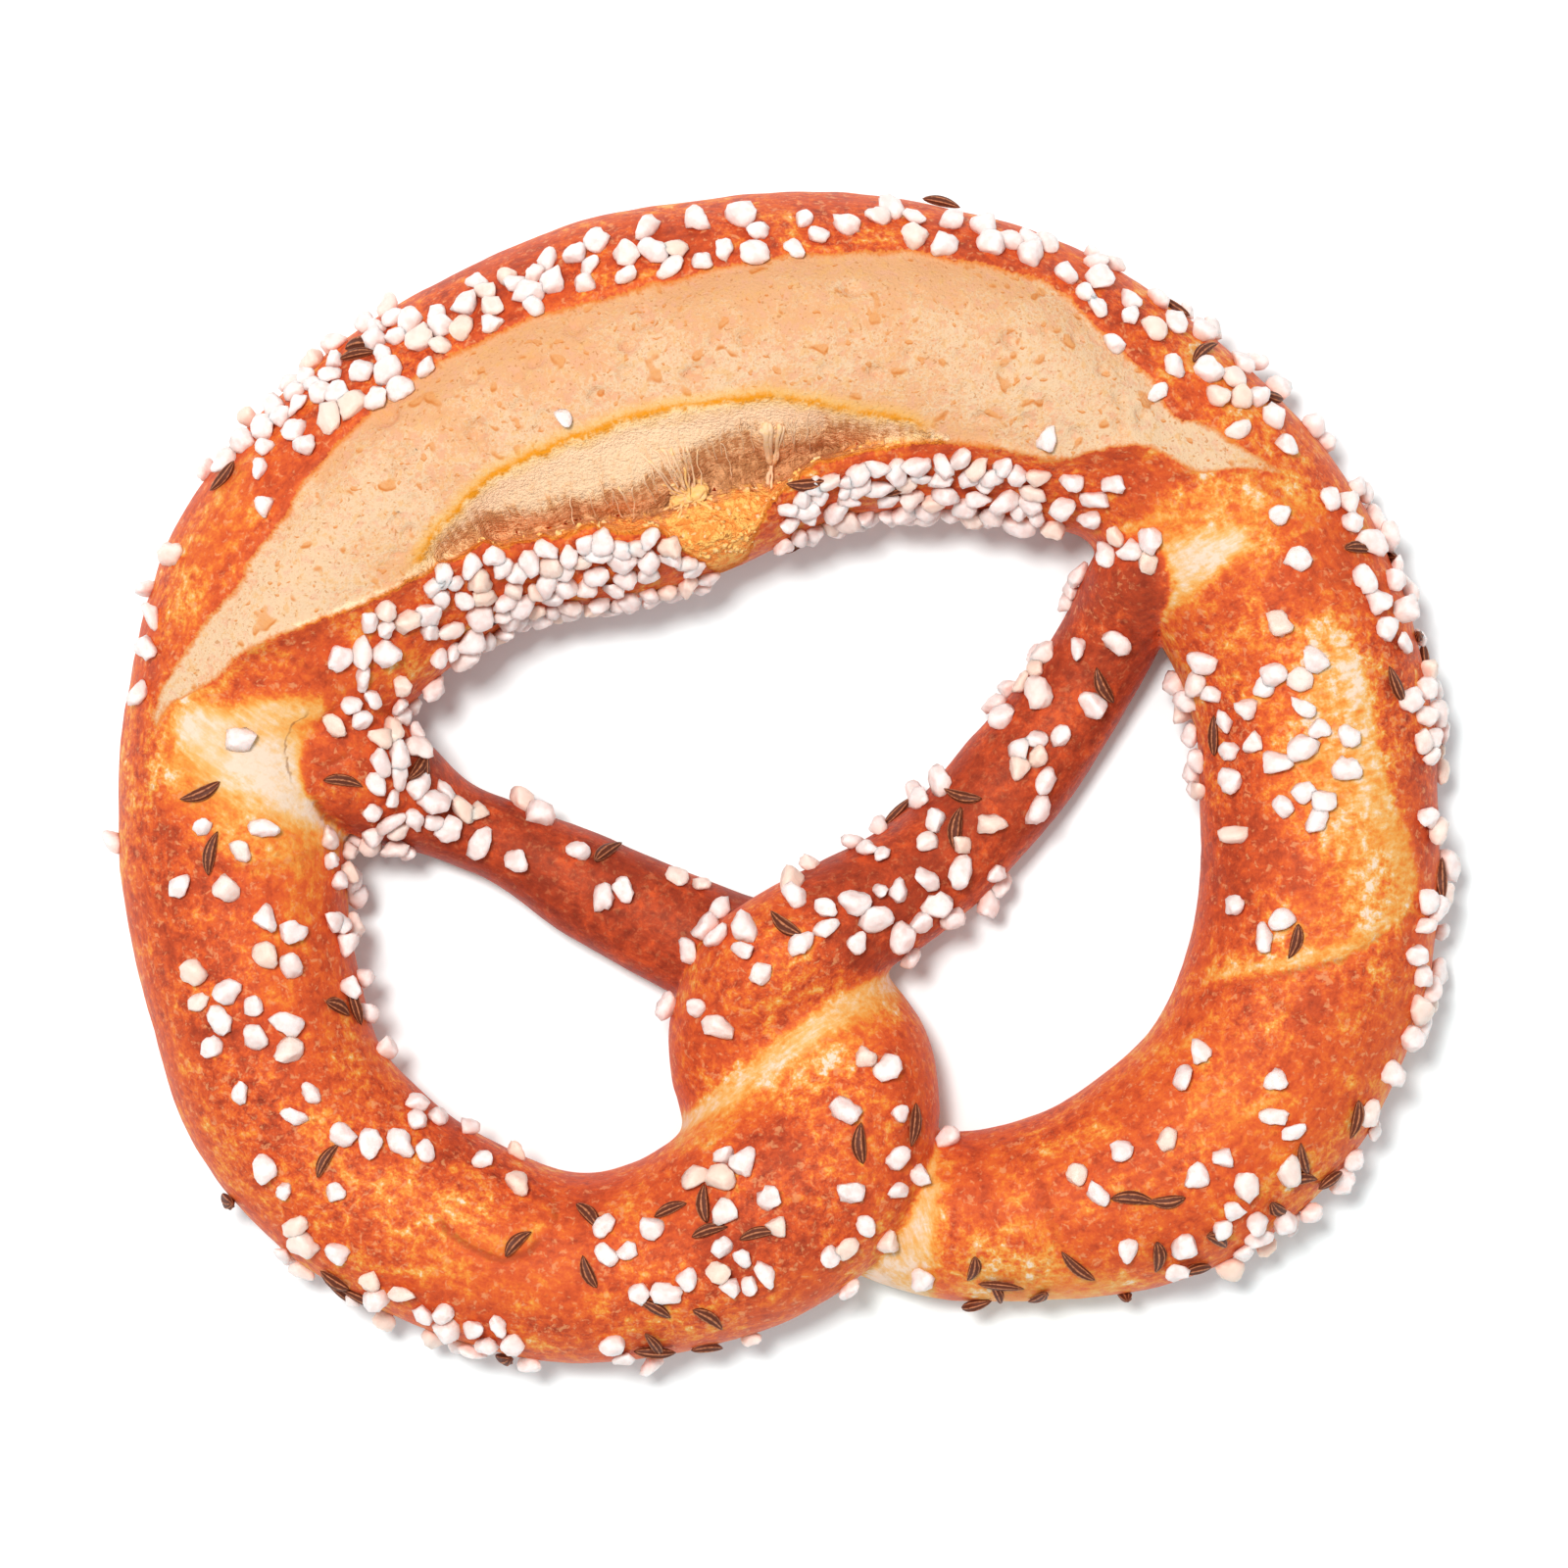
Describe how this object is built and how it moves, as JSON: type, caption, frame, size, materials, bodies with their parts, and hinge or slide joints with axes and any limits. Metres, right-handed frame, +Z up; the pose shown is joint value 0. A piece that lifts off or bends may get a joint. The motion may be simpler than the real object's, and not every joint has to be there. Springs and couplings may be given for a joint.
{
  "type": "soft pretzel",
  "caption": "Soft pretzel of baked lye dough with a burst belly, twisted neck and pressed-on arms, topped with coarse salt and caraway seeds.",
  "frame": {"origin": "middle of the footprint, on the flat underside", "axes": "+Z up, +Y towards the thick burst belly, +X to the right when the belly points away from the viewer"},
  "size_m": [0.1603, 0.1422, 0.0326],
  "materials": {
    "crust": "mottled orange to red-brown lye crust, satin gloss",
    "crumb": "pale peach crumb of the burst, matt, finely pored",
    "salt": "coarse white salt grains, softly translucent",
    "caraway": "brown ribbed seeds, dry"
  },
  "bodies": {
    "root": {"pretzel": "crust"}
  },
  "joints": []
}
